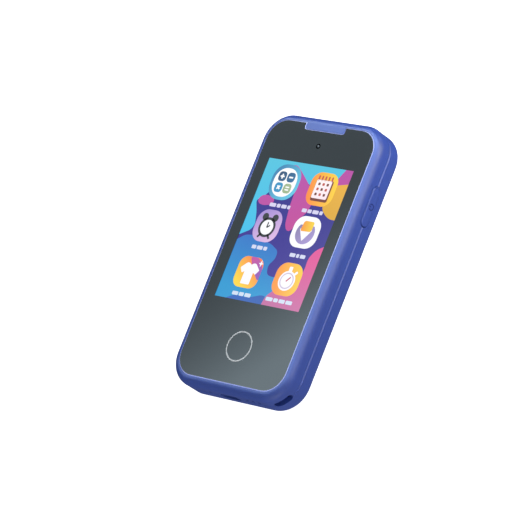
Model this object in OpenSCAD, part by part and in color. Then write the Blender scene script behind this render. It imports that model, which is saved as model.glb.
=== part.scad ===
// Toy smartphone with a 2.8 inch screen, lying on its back.
// X runs across the phone, with the power key at +X; Y runs along it, with the camera end at +Y;
// Z runs from the back face, at 0, to the glass. All sizes are in millimetres.

/* [Body] */
// Width of the body
body_w = 60; // [58:0.5:66]
// Length of the body
body_l = 112.8; // [112:0.2:118]
// Thickness from the back face to the glass
body_t = 14.4; // [14.2:0.1:16]
// Radius of the corners, seen from the front
corner_r = 11.6; // [11.2:0.1:12]
// Radius of the front edge
front_r = 3; // [2:0.1:3.2]
// Radius of the back edge
back_r = 4; // [3:0.1:4.4]
// Height of the line where the two shells meet
split_z = 7.8; // [7.6:0.1:8]
// Wall thickness of both shells
wall = 1.6; // [1.4:0.1:1.7]

/* [Front] */
// Width of the cover lens
lens_w = 54.4; // [54:0.1:54.8]
// Length of the cover lens
lens_l = 106.6; // [106:0.1:107]
// Distance that the lens is set towards the camera end
lens_y = 0.33; // [0:0.01:0.4]
// Radius of the lens corners
lens_r = 8.9; // [8.5:0.1:9.2]
// Thickness of the lens
lens_t = 0.8; // [0.7:0.1:0.9]
// Width of the shell's tab at the top of the lens
tab_w = 19.6; // [16:0.1:22]
// Distance that the tab reaches into the lens
tab_l = 2.7; // [2:0.1:3]
// Place of the screen's middle along the body
screen_y = 8.3; // [8:0.1:8.6]
// Width of the lit screen
screen_w = 43.2; // [42.8:0.1:43.6]
// Length of the lit screen
screen_l = 57.6; // [57:0.1:58.4]
// Place of the front camera along the body
front_camera_y = 44.6; // [44:0.1:45]
// Place of the home ring along the body
home_y = -38; // [-39:0.1:-37]

/* [Side key] */
// Length of the key
key_l = 16; // [14:0.5:17]
// Height of the key
key_h = 4.2; // [3.8:0.1:4.4]
// Place of the key along the body
key_y = 26.4; // [25:0.1:28]
// Distance that the key stands proud of the side
key_proud = 0.4; // [0.3:0.05:0.5]
// Travel of the key
key_travel = 0.35; // [0.2:0.05:0.4]

/* [Back] */
// Distance of each lanyard slot from the middle line of the back
lanyard_x = 24.6; // [24.4:0.1:24.8]
// Distance of each lanyard slot from the middle of the length
lanyard_y = 49; // [48.8:0.1:49.2]
// Length of the camera window
window_l = 14; // [13:0.1:15]
// Width of the camera window
window_w = 7.4; // [7:0.1:7.8]
// Place of the camera window across the body
window_x = 12.7; // [12:0.1:13]
// Place of the camera window along the body
window_y = 46.4; // [46:0.1:46.6]

/* [Hidden] */
$fn = 64;

// Small amount that a cutter runs past the face it opens
over = 1;
// Half sizes of the body, and the centres of its corner curves
half_w = body_w / 2;
half_l = body_l / 2;
corner_x = half_w - corner_r;
corner_y = half_l - corner_r;

// Levels inside the phone, from the glass down
lens_z = body_t - lens_t;
glue_t = 0.15;
plate_top = lens_z - glue_t;
plate_t = 1.2;
plate_z = plate_top - plate_t;
touch_t = 0.25;
panel_t = 1.3;
touch_z = lens_z - touch_t;
panel_z = touch_z - panel_t;
light_t = 1.05;
light_z = panel_z - light_t;
tray_t = 0.2;
tray_z = light_z - tray_t;
flex_t = 0.15;
board_z = 5.2;
board_t = 1;
board_top = board_z + board_t;

// The lip of the back cover that reaches up inside the front housing
lip_t = 0.7;
lip_h = 1;
lip_gap = 0.05;
lip_top = split_z + lip_h;
// Lowest level of the front housing's own inner walls, just above the lip
shelf_z = lip_top + 0.2;
groove = 0.35;

// Outline of the screen's glass and of the opening that it sits in
panel_side = 1.7;
panel_head = 2.2;
panel_foot = 5.4;
panel_w = screen_w + 2 * panel_side;
panel_l = screen_l + panel_head + panel_foot;
panel_y = screen_y + (panel_head - panel_foot) / 2;
panel_gap = 0.6;
tray_w = panel_w + 2;
tray_l = panel_l + 1.2;
flex_w = 16;
flex_x = 6.5;
flex_z = tray_z - 0.3;
display_socket_w = 17.6;
display_socket_l = 4;
display_socket_y = 12.6;
home_pad_d = 12;
// Slot for the touch pad's tail
home_tail_w = 6;
home_tail_l = 1.2;
// Rounding of the tab's corners
tab_r = 0.8;
// Distance that the display's ribbon overlaps the panel, and that it stands off the tray
ribbon_hold = 0.3;
ribbon_fold = 1;

// Lanyard openings
lanyard_slot_w = 1.3;
lanyard_slot_l = 3.8;
lanyard_well_r = 2.2;
lanyard_boss_r = 3.2;
lanyard_floor = 2.4;
lanyard_floor_r = 5;
lanyard_backing_r = 6.2;
mouth_z = 8.4;
mouth_h = 3;
mouth_l = 8;
mouth_r = 7.4;
// Direction of the mouths from their corners' centres, at the camera end and at the port end
top_mouth_turn = 73;
low_mouth_turn = 50;
// Cheek that closes the side of each mouth at the camera end
cheek_w = 2.6;
cheek_l = 3.7;
cheek_z = 5.5;

// Charging port, sound openings and the boards
port_z = 8.4;
port_w = 8.94;
port_h = 3.2;
port_shell_t = 0.3;
port_l = 7.4;
port_set_back = 0.9;
port_mouth_w = 9.6;
port_mouth_h = 3.8;
port_inner = port_set_back + port_l - half_l;
tongue_w = 6.6;
tongue_t = 0.7;
tongue_set_back = 1;
sound_z = 9.6;
sound_h = 1.8;
speaker_x = 12.8;
speaker_w = 11;
speaker_l = 15;
speaker_h = 4.6;
speaker_wall = 1.2;
speaker_hole_d = 1.3;
speaker_pitch = 3;
speaker_z = plate_z - speaker_h;
gasket_t = 1.6;
gasket_h = 3.4;
contact_t = 0.2;
contact_w = 1;
contact_reach = 1.2;
contact_root = 0.4;
contact_spots = [-44.4, -47.4];
mic_x = -9.5;
mic_y = -52.4;
mic_w = 2.8;
mic_l = 1.9;
mic_h = 1;
mic_hole_d = 1;
boot_w = 4;
boot_l = 3.6;

// Main board, with a neck towards the camera end, and the charging board
board_w = 52;
board_l = 34;
board_y = 27;
neck_w = 30;
neck_l = 9.5;
neck_overlap = 0.85;
charging_board_w = 23;
charging_board_l = 11.5;
charging_board_x = -4.6;
charging_board_y = -48.4;
// Chips and parts of the main board: [width, length, height] and [x, y]
processor_size = [12, 12, 1.2];
processor_at = [-4, 26];
memory_size = [8, 6, 0.9];
memory_at = [-4, 37];
power_manager_size = [5, 5, 0.9];
power_manager_at = [-18, 22];
amplifier_size = [4, 5, 1.4];
amplifier_at = [10, 37];
crystal_size = [3.2, 2.5, 0.8];
crystal_at = [-14, 31];
passive_l = 1.6;
passive_w = 0.8;
passive_pitch = 1.8;
// First part of each row, and the last number in the row
wide_row_at = [5, 24];
wide_row_end = 4;
upright_row_at = [-18, 34];
upright_row_end = 3;
short_row_at = [3, 31];
short_row_end = 3;

board_screw_spots = [[-24, 14], [24, 14], [-24, 40], [24, 40]];
small_screw_spots = [[-13.5, -45.2], [4.6, -45.2]];
screw_d = 1.4;
screw_head_d = 2.8;
screw_head_t = 0.7;
screw_l = 4.6;
screw_slot_l = 1.6;
screw_slot_w = 0.35;
screw_slot_z = 0.4;
boss_d = 4.2;

// Battery
battery_w = 34;
battery_l = 48;
battery_t = 5.6;
battery_y = -17;
battery_r = 2;
tape_w = 26;
tape_l = 40;
tape_t = 0.2;
battery_z = wall + tape_t;
rib_t = 1;
rib_h = 3;
rib_gap = 0.4;
side_rib_l = 10;
side_rib_y = 14;
end_rib_l = 20;
guard_h = 4;
guard_t = 1;
// Plug of the battery and its socket, which sits in a notch of the main board
plug_x = -12;
plug_w = 5;
plug_l = 3.4;
plug_h = 2;
plug_y = 12.5;
socket_w = 7;
socket_l = 5;
socket_h = 3;
socket_y = 13.8;
socket_gap = 0.05;
lead_d = 0.9;
lead_pitch = 2;
// Ribbon between the two boards
link_x = -5.6;
link_w = 5;
link_foot = 3;
link_rise = 1;
link_fall = 2.5;
link_tail = 6;

// Cameras
window_cap = window_l / 2 - window_w / 2;
rear_lens_x = window_x + window_cap;
flash_x = window_x - window_cap;
window_depth = 0.9;
window_t = 0.75;
window_gap = 0.08;
camera_block = 6.4;
front_camera_h = 3.4;
front_barrel_d = 5;
front_barrel_h = 1.2;
front_bore_d = 3.2;
front_lens_d = 3.1;
front_lens_h = 1.9;
front_camera_seat = plate_z - 1.6;
front_flex_w = 5;
front_flex_shift = 0.4;
rear_camera_h = 3.2;
rear_barrel_d = 5.8;
rear_bore_d = 3.6;
rear_bore_h = 2.6;
rear_lens_d = 3.5;
rear_lens_h = 1.5;
flash_d = 4.2;
flash_base = 5;
flash_cap_h = 0.8;
rear_flex_size = [4, 6];
rear_flex_shift = [-2, -3];
rear_hole_d = 6.2;
flash_hole_d = 4.6;

// Power key and its switch
key_gap = 0.25;
flange_l = key_l + 2.4;
flange_h = key_h + 2.2;
flange_t = 0.8;
flange_x = half_w - wall - 0.3 - flange_t;
switch_l = 4.4;
switch_w = 3.6;
switch_x = flange_x - key_travel - 0.95 - switch_l;
switch_h = split_z + 1.6 - board_top;
dome_x = switch_x + 1.6;
dome_t = 0.15;
plunger_d = 1.8;
plunger_x = dome_x + dome_t + key_travel + 0.05;

// Snap hooks: [place along the side, which side]
hook_spots = [[-30, 1], [0, 1], [-30, -1], [0, -1], [26, -1]];
hook_w = 5;
hook_top = 11;
hook_arm = 1;
hook_tooth = 0.5;
hook_pocket_h = 1.5;

// ---------------------------------------------------------------- shared shapes

// Waste outside a quarter round of radius r, in the upper right quarter
module edge_waste(r) {
    difference() {
        square(r + over);
        circle(r);
    }
}

// Upright cut through the body's edge, from a corner's centre line outwards
module form_section(inset) {
    side = corner_r - inset;
    front = front_r - inset;
    back = back_r - inset;
    difference() {
        translate([0, inset]) square([side, body_t - 2 * inset]);
        translate([side - front, body_t - inset - front]) edge_waste(front);
        translate([side - back, inset + back]) mirror([0, 1]) edge_waste(back);
    }
}

// Chamfer that makes half of the groove between the shells; way is 1 above it and -1 below
module groove_waste(way) {
    polygon([
        [corner_r - groove, split_z], [corner_r + over, split_z - way * over],
        [corner_r + over, split_z + way * (groove + over)]]);
}

// Carries a cut of the edge round the whole outline: child 0 on the straights, child 1 on the corners
module round_the_body() {
    for (turn = [0, 180]) {
        rotate([0, 0, turn]) translate([corner_x, 0, 0]) rotate([90, 0, 0])
            linear_extrude(height = 2 * corner_y, center = true) children(0);
        rotate([0, 0, turn + 90]) translate([corner_y, 0, 0]) rotate([90, 0, 0])
            linear_extrude(height = 2 * corner_x, center = true) children(0);
    }
    for (turn = [0, 180]) {
        rotate([0, 0, turn]) translate([corner_x, corner_y, 0]) rotate_extrude(angle = 90) children(1);
        rotate([0, 0, turn]) translate([-corner_x, corner_y, 0]) rotate([0, 0, 90])
            rotate_extrude(angle = 90) children(1);
    }
}

// Flat block with its middle at x, y and its underside at z
module block(w, l, h, x = 0, y = 0, z = 0) {
    translate([x - w / 2, y - l / 2, z]) cube([w, l, h]);
}

// Upright disc or pin with its foot at z
module pin(d, h, x = 0, y = 0, z = 0) {
    translate([x, y, z]) cylinder(d = d, h = h);
}

// Flat plate with rounded corners
module rounded_plate(w, l, r, h) {
    linear_extrude(height = h) {
        square([w - 2 * r, l], center = true);
        square([w, l - 2 * r], center = true);
        for (x = [-1, 1], y = [-1, 1]) translate([x * (w / 2 - r), y * (l / 2 - r)]) circle(r);
    }
}

// Plate with two round ends, lying along X
module oval_plate(l, w, h) {
    linear_extrude(height = h) {
        square([l - w, w], center = true);
        for (x = [-1, 1]) translate([x * (l - w) / 2, 0]) circle(d = w);
    }
}

// Oval bar standing on the side of the phone: long along Y, its depth running from x0 to x1
module side_oval(l, h, x0, x1) {
    translate([x0, key_y, split_z]) rotate([90, 0, 90]) oval_plate(l, h, x1 - x0);
}

// Puts its children at the two corners of one end, turned over by mirroring
module at_corners(end) {
    for (x = [0, 1]) mirror([x, 0, 0]) mirror([0, end, 0]) children();
}

module at_four_corners() {
    for (end = [0, 1]) at_corners(end) children();
}

// ---------------------------------------------------------------- openings in the shells

// Oval mouth on the side of each corner, for the lanyard cord
module lanyard_mouths() {
    for (end = [0, 1]) at_corners(end)
        translate([corner_x, corner_y, mouth_z])
            rotate([0, 0, end == 0 ? top_mouth_turn : low_mouth_turn])
                translate([mouth_r, 0, 0]) rotate([90, 0, 90])
                    oval_plate(mouth_l, mouth_h, corner_r + over - mouth_r);
}

// Cheeks beside the mouths of the camera end, from level z up
module mouth_cheeks(z, h) {
    at_corners(0) block(cheek_w, cheek_l, h, corner_x + 0.1 - cheek_w / 2,
        half_l - wall + 0.1 - cheek_l / 2, z);
}

// Well behind the mouth, which the cord passes down to the slot in the back
module lanyard_well() {
    pin(2 * lanyard_well_r, mouth_z + mouth_h / 2 - lanyard_floor, lanyard_x, lanyard_y, lanyard_floor);
}

// Mouth of the charging port
module port_mouth() {
    translate([0, -half_l + wall + over, port_z]) rotate([90, 0, 0])
        oval_plate(port_mouth_w, port_mouth_h, wall + 2 * over);
}

// Round hole through the bottom end
module end_hole(d, x) {
    translate([x, -half_l + wall + over, sound_z]) rotate([90, 0, 0]) cylinder(d = d, h = wall + 2 * over);
}

module key_opening() {
    side_oval(key_l + 2 * key_gap, key_h + 2 * key_gap, half_w - wall - over, half_w + over);
}

// ---------------------------------------------------------------- shells

// Edge of the front housing; the plate under the lens is part of it
module front_section() {
    difference() {
        form_section(0);
        translate([-over, -over]) square([corner_r + 2 * over, split_z + over]);
        translate([-over, 0]) square([corner_r - wall + over, plate_z]);
        square([corner_r - wall + lip_t + lip_gap, lip_top + 2 * lip_gap]);
        groove_waste(1);
    }
}

module front_corner_section() {
    front_section();
    translate([lanyard_backing_r, shelf_z])
        square([corner_r - wall / 2 - lanyard_backing_r, plate_z + 0.2 - shelf_z]);
}

module front_housing() {
    color("#4255b4") difference() {
        union() {
            round_the_body() {
                front_section();
                front_corner_section();
            }
            block(2 * corner_x, 2 * corner_y, body_t - plate_z, z = plate_z);
            at_four_corners() pin(2 * lanyard_boss_r, plate_z + 0.1 - shelf_z, lanyard_x, lanyard_y,
                shelf_z);
            mouth_cheeks(shelf_z, plate_z + 0.1 - shelf_z);
        }
        // Bed of the lens, less the tab
        difference() {
            translate([0, lens_y, plate_top])
                rounded_plate(lens_w + 0.1, lens_l + 0.1, lens_r, lens_t + glue_t + over);
            lens_tab(0, plate_top - over, body_t + 2 * over);
        }
        block(panel_w + panel_gap, panel_l + panel_gap, plate_t + 2 * over, 0, panel_y, plate_z - over);
        // Holes of the front camera and of the touch pad's tail
        pin(front_barrel_d + 0.4, plate_t + 2 * over, 0, front_camera_y, plate_z - over);
        block(home_tail_w, home_tail_l, plate_t + 2 * over, 0, home_y - home_pad_d / 2 - 1, plate_z - over);
        lanyard_mouths();
        at_four_corners() lanyard_well();
        port_mouth();
        key_opening();
        for (i = [-1:1]) end_hole(speaker_hole_d, speaker_x + i * speaker_pitch);
        end_hole(mic_hole_d, mic_x);
        for (spot = hook_spots)
            block(2 * (hook_tooth + 0.2), hook_w + 0.6, hook_pocket_h, spot[1] * (half_w - wall), spot[0],
                hook_top - hook_pocket_h);
    }
}

// Edge of the back cover, with its lip
module back_section() {
    difference() {
        form_section(0);
        intersection() {
            form_section(wall);
            square([corner_r, split_z + over]);
        }
        translate([0, split_z]) square([corner_r + over, body_t]);
        groove_waste(-1);
    }
    translate([corner_r - wall, split_z - over]) square([lip_t, lip_h + over]);
}

module back_corner_section() {
    back_section();
    intersection() {
        form_section(wall / 2);
        union() {
            translate([lanyard_backing_r, 0]) square([corner_r, split_z]);
            translate([lanyard_floor_r, 0]) square([corner_r, lanyard_floor + 0.1]);
        }
    }
    translate([lanyard_backing_r, split_z - over])
        square([corner_r - wall + 0.1 - lanyard_backing_r, lip_h + over]);
}

// Arm with a tooth that clicks into the front housing
module snap_hook() {
    inner = half_w - wall - hook_arm - 0.2;
    outer = inner + hook_arm;
    rotate([90, 0, 0]) linear_extrude(height = hook_w, center = true)
        polygon([
            [inner, wall / 2], [outer + 0.3, wall / 2], [outer, split_z - over],
            [outer, hook_top - 1.3], [outer + hook_tooth, hook_top - 1.2],
            [outer, hook_top], [inner, hook_top]]);
}

module back_cover() {
    post_h = board_z - wall / 2;
    color("#3d4eaa") difference() {
        union() {
            round_the_body() {
                back_section();
                back_corner_section();
            }
            block(2 * corner_x, 2 * corner_y, wall);
            at_four_corners()
                pin(2 * lanyard_boss_r, lip_top + 0.2 - lanyard_floor, lanyard_x, lanyard_y,
                    lanyard_floor - 0.2);
            mouth_cheeks(cheek_z, lip_top - cheek_z);
            for (spot = concat(board_screw_spots, small_screw_spots))
                pin(boss_d, post_h, spot[0], spot[1], wall / 2);
            for (spot = hook_spots)
                translate([0, spot[0], 0]) mirror([spot[1] < 0 ? 1 : 0, 0, 0]) snap_hook();
            // Ribs that keep the battery from sliding
            rib_out = rib_gap + rib_t / 2;
            for (x = [-1, 1], y = [-side_rib_y, side_rib_y])
                block(rib_t, side_rib_l, rib_h, x * (battery_w / 2 + rib_out), battery_y + y, wall / 2);
            block(end_rib_l, rib_t, rib_h, 0, battery_y - battery_l / 2 - rib_out, wall / 2);
        }
        for (spot = concat(board_screw_spots, small_screw_spots))
            pin(screw_d, screw_l + over, spot[0], spot[1], board_top - screw_l);
        // Seat of the camera window, with the holes behind it
        translate([window_x, window_y, -over])
            oval_plate(window_l + 2 * window_gap, window_w + 2 * window_gap, window_depth + over);
        pin(rear_hole_d, wall + 2 * over, rear_lens_x, window_y, -over);
        pin(flash_hole_d, wall + 2 * over, flash_x, window_y, -over);
        lanyard_mouths();
        at_four_corners() {
            lanyard_well();
            block(lanyard_slot_w, lanyard_slot_l, lanyard_floor + 2 * over, lanyard_x, lanyard_y, -over);
        }
        port_mouth();
        key_opening();
    }
}

// ---------------------------------------------------------------- front stack

// The shell's tab that fills the notch of the lens; gap widens it for cutting the lens
module lens_tab(gap, z, h) {
    edge = lens_y + lens_l / 2;
    round_r = tab_r + gap;
    w = tab_w + 2 * gap;
    l = tab_l + gap;
    translate([0, edge - l, z]) linear_extrude(height = h) {
        translate([-w / 2, round_r]) square([w, l - round_r + over]);
        translate([-w / 2 + round_r, 0]) square([w - 2 * round_r, l + over]);
        for (x = [-1, 1]) translate([x * (w / 2 - round_r), round_r]) circle(round_r);
    }
}

module cover_lens() {
    color("#2b3035") difference() {
        translate([0, lens_y, lens_z]) rounded_plate(lens_w, lens_l, lens_r, lens_t);
        lens_tab(0.05, lens_z - over, lens_t + 2 * over);
    }
}

module lens_adhesive() {
    color("#1c1c1c") difference() {
        translate([0, lens_y, plate_top]) rounded_plate(lens_w - 0.6, lens_l - 0.6, lens_r - 0.3, glue_t);
        lens_tab(0.4, plate_top - over, 2 * over);
        block(panel_w + 1, panel_l + 1, 2 * over, 0, panel_y, plate_top - over);
        pin(front_barrel_d + 1, 2 * over, 0, front_camera_y, plate_top - over);
        pin(home_pad_d + 0.6, 2 * over, 0, home_y, plate_top - over);
    }
}

module touch_sensor() {
    color("#9fa8a8") block(panel_w, panel_l, touch_t, 0, panel_y, touch_z);
}

module home_touch_pad() {
    color("#c87a3c") pin(home_pad_d, glue_t, 0, home_y, plate_top);
}

module lcd_panel() {
    color("#20242c") block(panel_w, panel_l, panel_t, 0, panel_y, panel_z);
}

module backlight_panel() {
    color("#f4f6f2") block(tray_w - 2 * tray_t, tray_l - 2 * tray_t, light_t, 0, panel_y, light_z);
}

// Pressed steel tray behind the backlight, with low walls
module display_tray() {
    color("#b8bcc0") difference() {
        block(tray_w, tray_l, tray_t + light_t, 0, panel_y, tray_z);
        block(tray_w - 2 * tray_t, tray_l - 2 * tray_t, light_t + over, 0, panel_y, light_z);
    }
}

// Ribbon that folds round the lower end of the tray and runs behind it to its socket
module display_flex() {
    end = display_socket_y + display_socket_l / 2 - 0.6;
    foot = panel_y - tray_l / 2;
    fold = foot - ribbon_fold;
    hold = foot + ribbon_hold;
    color("#c8842c") translate([flex_x, 0, 0]) rotate([90, 0, 90])
        linear_extrude(height = flex_w, center = true)
            polygon([
                [hold, panel_z], [fold, panel_z], [fold, flex_z], [end, flex_z],
                [end, flex_z - flex_t], [fold - flex_t, flex_z - flex_t],
                [fold - flex_t, panel_z + flex_t], [hold, panel_z + flex_t]]);
}

module display_socket() {
    color("#3a3632") block(display_socket_w, display_socket_l, flex_z - flex_t - board_top,
        flex_x, display_socket_y, board_top);
}

module front_camera_holder() {
    color("#26282a") difference() {
        union() {
            block(camera_block, camera_block, front_camera_h, 0, front_camera_y, plate_z - 0.1 -
                front_camera_h);
            pin(front_barrel_d, front_barrel_h, 0, front_camera_y, plate_z - 0.2);
        }
        pin(front_bore_d, 3, 0, front_camera_y, front_camera_seat);
    }
}

module front_camera_lens() {
    color("#101418") pin(front_lens_d, front_lens_h, 0, front_camera_y, front_camera_seat + 0.4);
}

module front_camera_flex() {
    color("#c8842c") block(front_flex_w, front_flex_w, plate_z - 0.1 - front_camera_h - board_top, 0,
        front_camera_y + front_flex_shift, board_top);
}

// ---------------------------------------------------------------- boards

module main_board() {
    color("#1f6b45") difference() {
        union() {
            block(board_w, board_l, board_t, 0, board_y, board_z);
            block(neck_w, neck_l, board_t, 0, board_y + (board_l + neck_l) / 2 - neck_overlap, board_z);
        }
        for (spot = board_screw_spots) pin(screw_d + 0.2, 3 * over, spot[0], spot[1], board_z - over);
        block(socket_w + 2 * socket_gap, socket_l + 2 * over, 3 * over, plug_x,
            socket_y + socket_gap - over, board_z - over);
    }
}

// Part of the given size that stands on the main board
module chip(size, at) {
    block(size[0], size[1], size[2], at[0], at[1], board_top);
}

module processor() {
    color("#24262a") chip(processor_size, processor_at);
}

module flash_memory() {
    color("#24262a") chip(memory_size, memory_at);
}

module power_manager() {
    color("#24262a") chip(power_manager_size, power_manager_at);
}

module audio_amplifier() {
    color("#24262a") chip(amplifier_size, amplifier_at);
}

module clock_crystal() {
    color("#c4c8cc") chip(crystal_size, crystal_at);
}

// Small capacitors and resistors in rows beside the chips
module board_passives() {
    color("#b89a6a") {
        for (i = [0:wide_row_end])
            chip([passive_w, passive_l, passive_w], wide_row_at + [passive_pitch * i, 0]);
        for (i = [0:short_row_end])
            chip([passive_w, passive_l, passive_w], short_row_at + [passive_pitch * i, 0]);
        for (i = [0:upright_row_end])
            chip([passive_l, passive_w, passive_w], upright_row_at + [0, passive_pitch * i]);
    }
}

module charging_board() {
    color("#1f6b45") difference() {
        block(charging_board_w, charging_board_l, board_t, charging_board_x, charging_board_y, board_z);
        for (spot = small_screw_spots) pin(screw_d + 0.2, 3 * over, spot[0], spot[1], board_z - over);
    }
}

// Ribbon from the charging board over the battery to the main board
module board_link_flex() {
    high = battery_z + battery_t + 0.4;
    near = battery_y - battery_l / 2 - 1;
    far = battery_y + battery_l / 2 + 1;
    low = near - link_rise;
    start = low - link_foot;
    color("#c8842c") translate([link_x, 0, 0]) rotate([90, 0, 90])
        linear_extrude(height = link_w, center = true)
            polygon([
                [start, board_top], [low, board_top], [near, high], [far, high],
                [far + link_fall, board_top], [far + link_tail, board_top],
                [far + link_tail, board_top + flex_t], [far + link_fall + 0.1, board_top + flex_t],
                [far + 0.1, high + flex_t], [near - 0.1, high + flex_t],
                [low - 0.1, board_top + flex_t], [start, board_top + flex_t]]);
}

module board_screws() {
    color("#8c9094") for (spot = concat(board_screw_spots, small_screw_spots)) {
        pin(screw_d, screw_l, spot[0], spot[1], board_top - screw_l);
        difference() {
            pin(screw_head_d, screw_head_t, spot[0], spot[1], board_top);
            block(screw_slot_l, screw_slot_w, over, spot[0], spot[1], board_top + screw_slot_z);
            block(screw_slot_w, screw_slot_l, over, spot[0], spot[1], board_top + screw_slot_z);
        }
    }
}

// ---------------------------------------------------------------- battery

module battery_cell() {
    color("#c9ccd0") translate([0, battery_y, battery_z])
        rounded_plate(battery_w, battery_l, battery_r, battery_t);
}

module battery_tape() {
    color("#e8e4d8") block(tape_w, tape_l, tape_t, 0, battery_y, wall);
}

module battery_guard_board() {
    color("#1f6b45") block(tape_w, guard_t, guard_h, 0, battery_y + (battery_l + guard_t) / 2,
        battery_z + (battery_t - guard_h) / 2);
}

// Two short straight leads from the guard board to the plug
module battery_leads() {
    start = battery_y + battery_l / 2 + guard_t;
    color("#b02020") for (side = [-0.5, 0.5])
        translate([plug_x + side * lead_pitch, start, board_z - 0.2]) rotate([-90, 0, 0])
            cylinder(d = lead_d, h = plug_y - plug_l / 2 - start);
}

module battery_plug() {
    color("#f0ead8") block(plug_w, plug_l, plug_h, plug_x, plug_y, board_z - plug_h / 2);
}

module battery_socket() {
    color("#e6dfc8") difference() {
        block(socket_w, socket_l, socket_h, plug_x, socket_y, board_z - socket_h / 2);
        block(plug_w + 2 * socket_gap, plug_l + over, plug_h + 2 * socket_gap, plug_x,
            plug_y + socket_gap - over / 2, board_z - plug_h / 2 - socket_gap);
    }
}

// ---------------------------------------------------------------- bottom end

// Steel shell of the charging port, open towards the end of the phone
module charging_port_shell() {
    color("#c4c8cc") translate([0, port_inner, port_z]) rotate([90, 0, 0]) difference() {
        oval_plate(port_w, port_h, port_l);
        translate([0, 0, port_shell_t])
            oval_plate(port_w - 2 * port_shell_t, port_h - 2 * port_shell_t, port_l);
    }
}

module charging_port_tongue() {
    l = port_l - port_shell_t - tongue_set_back;
    color("#202224") block(tongue_w, l, tongue_t, 0, port_inner - port_shell_t - l / 2, port_z -
        tongue_t / 2);
}

module microphone() {
    color("#c8b878") block(mic_w, mic_l, mic_h, mic_x, mic_y, board_top);
}

// Rubber block that joins the microphone to its hole
module microphone_boot() {
    near = -half_l + wall;
    color("#2c2c2e") difference() {
        block(boot_w, boot_l, sound_z + 1 - board_top, mic_x, near + boot_l / 2, board_top);
        block(mic_w, mic_l, mic_h + over, mic_x, mic_y, board_top - over);
        pin(mic_hole_d, sound_z - board_top, mic_x, mic_y, board_top);
        translate([mic_x, mic_y + mic_hole_d / 2, sound_z]) rotate([90, 0, 0])
            cylinder(d = mic_hole_d, h = boot_l);
    }
}

module speaker_box() {
    near = -half_l + wall + gasket_t;
    color("#303236") difference() {
        block(speaker_w, speaker_l, speaker_h, speaker_x, near + speaker_l / 2, speaker_z);
        block(speaker_w - 2 * speaker_wall, 3, sound_h, speaker_x, near, sound_z - sound_h / 2);
    }
}

module speaker_gasket() {
    near = -half_l + wall;
    color("#3c3c3c") difference() {
        block(speaker_w, gasket_t, gasket_h, speaker_x, near + gasket_t / 2, sound_z - gasket_h / 2);
        block(speaker_w - 2 * speaker_wall, gasket_t + over, sound_h, speaker_x, near + gasket_t / 2,
            sound_z - sound_h / 2);
    }
}

// Two leaf springs that press on the charging board
module speaker_contacts() {
    root_z = speaker_z + contact_root;
    reach = contact_reach;
    color("#d0b060") for (y = contact_spots)
        translate([speaker_x - speaker_w / 2, y, 0]) rotate([90, 0, 0])
            linear_extrude(height = contact_w, center = true)
                polygon([
                    [0, root_z], [0, root_z + contact_t], [0.3 - reach, root_z + contact_t],
                    [-reach, board_top + contact_t], [-reach, board_top],
                    [contact_t - reach, board_top], [0.4 - reach, root_z]]);
}

// ---------------------------------------------------------------- power key

module power_key() {
    face = half_w + key_proud;
    ring_r = 1.15;
    mark_w = 0.28;
    mark_h = 0.1;
    color("#4255b4") {
        side_oval(key_l, key_h, flange_x + 0.2, face);
        side_oval(flange_l, flange_h, flange_x, flange_x + flange_t);
        // Raised power mark: a ring with a stroke through its top
        translate([face - 0.05, key_y, split_z]) rotate([0, 90, 0]) {
            difference() {
                cylinder(r = ring_r, h = mark_h + 0.05);
                translate([0, 0, -over]) cylinder(r = ring_r - mark_w, h = 3 * over);
                translate([0, ring_r, 0]) cube([0.9, 1.4, 3 * over], center = true);
            }
            translate([-mark_w / 2, 0.3, 0]) cube([mark_w, 1.2, mark_h + 0.05]);
        }
    }
}

module power_switch_plunger() {
    color("#e8e4dc") translate([plunger_x, key_y, split_z]) rotate([0, 90, 0])
        cylinder(d = plunger_d, h = flange_x - plunger_x);
}

module power_switch_body() {
    color("#2a2a2c") difference() {
        block(switch_l, switch_w, switch_h, switch_x + switch_l / 2, key_y, board_top);
        translate([dome_x, key_y, split_z]) rotate([0, 90, 0]) cylinder(d = plunger_d + 0.1, h = switch_l);
    }
}

// Snap dome behind the plunger: the spring that lifts the key again
module power_switch_dome() {
    color("#d8dadc") translate([dome_x, key_y, split_z]) rotate([0, 90, 0])
        cylinder(d = plunger_d, h = dome_t);
}

// ---------------------------------------------------------------- rear camera

module rear_window() {
    color("#0c0d10") translate([window_x, window_y, 0.05]) oval_plate(window_l, window_w, window_t);
}

module rear_window_tape() {
    color("#1a1a1a") difference() {
        translate([window_x, window_y, 0.05 + window_t])
            oval_plate(window_l - 0.2, window_w - 0.2, window_depth - window_t - 0.05);
        pin(rear_hole_d, 4 * over, rear_lens_x, window_y, -over);
        pin(flash_hole_d, 4 * over, flash_x, window_y, -over);
    }
}

module rear_camera_holder() {
    color("#26282a") difference() {
        union() {
            block(camera_block, camera_block, rear_camera_h, rear_lens_x, window_y, wall + 0.05);
            pin(rear_barrel_d, 1, rear_lens_x, window_y, window_depth + 0.05);
        }
        pin(rear_bore_d, rear_bore_h, rear_lens_x, window_y, 0);
    }
}

module rear_camera_lens() {
    color("#101418") pin(rear_lens_d, rear_lens_h, rear_lens_x, window_y, window_depth + 0.15);
}

module rear_camera_flex() {
    color("#c8842c") block(rear_flex_size[0], rear_flex_size[1], board_z - wall - 0.05 - rear_camera_h,
        rear_lens_x + rear_flex_shift[0], window_y + rear_flex_shift[1], wall + 0.05 + rear_camera_h);
}

module flash_led() {
    color("#f6f2d8") {
        pin(flash_d, flash_cap_h, flash_x, window_y, window_depth + 0.05);
        block(flash_base, flash_base, board_z - wall - 0.15, flash_x, window_y, wall + 0.15);
    }
}

// ---------------------------------------------------------------- drawing

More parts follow.
